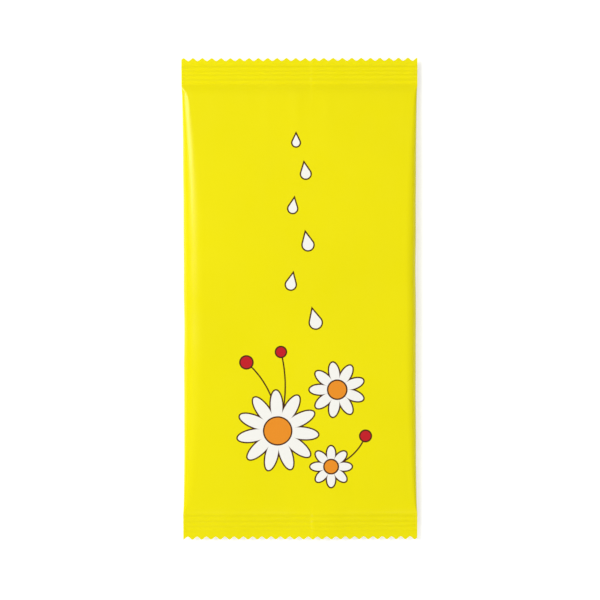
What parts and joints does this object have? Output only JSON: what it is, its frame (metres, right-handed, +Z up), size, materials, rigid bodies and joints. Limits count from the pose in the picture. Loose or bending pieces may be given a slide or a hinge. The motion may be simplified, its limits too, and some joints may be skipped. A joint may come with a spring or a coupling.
{
  "type": "wet wipes pack",
  "caption": "Sealed flow-wrapped pack for a folded wet wipe: a flat pillow of yellow film with ribbed, zigzag-cut end seals and a fin seal folded flat down its back.",
  "frame": {"origin": "under the middle of the pack, on the surface it lies on", "axes": "+Y along the pack towards the top end seal, +Z up out of the printed panel, +X to the right of that panel"},
  "size_m": [0.0682, 0.14, 0.0046],
  "materials": {
    "film": "satin"
  },
  "bodies": {
    "root": {"wipes_pack": "film"}
  },
  "joints": []
}
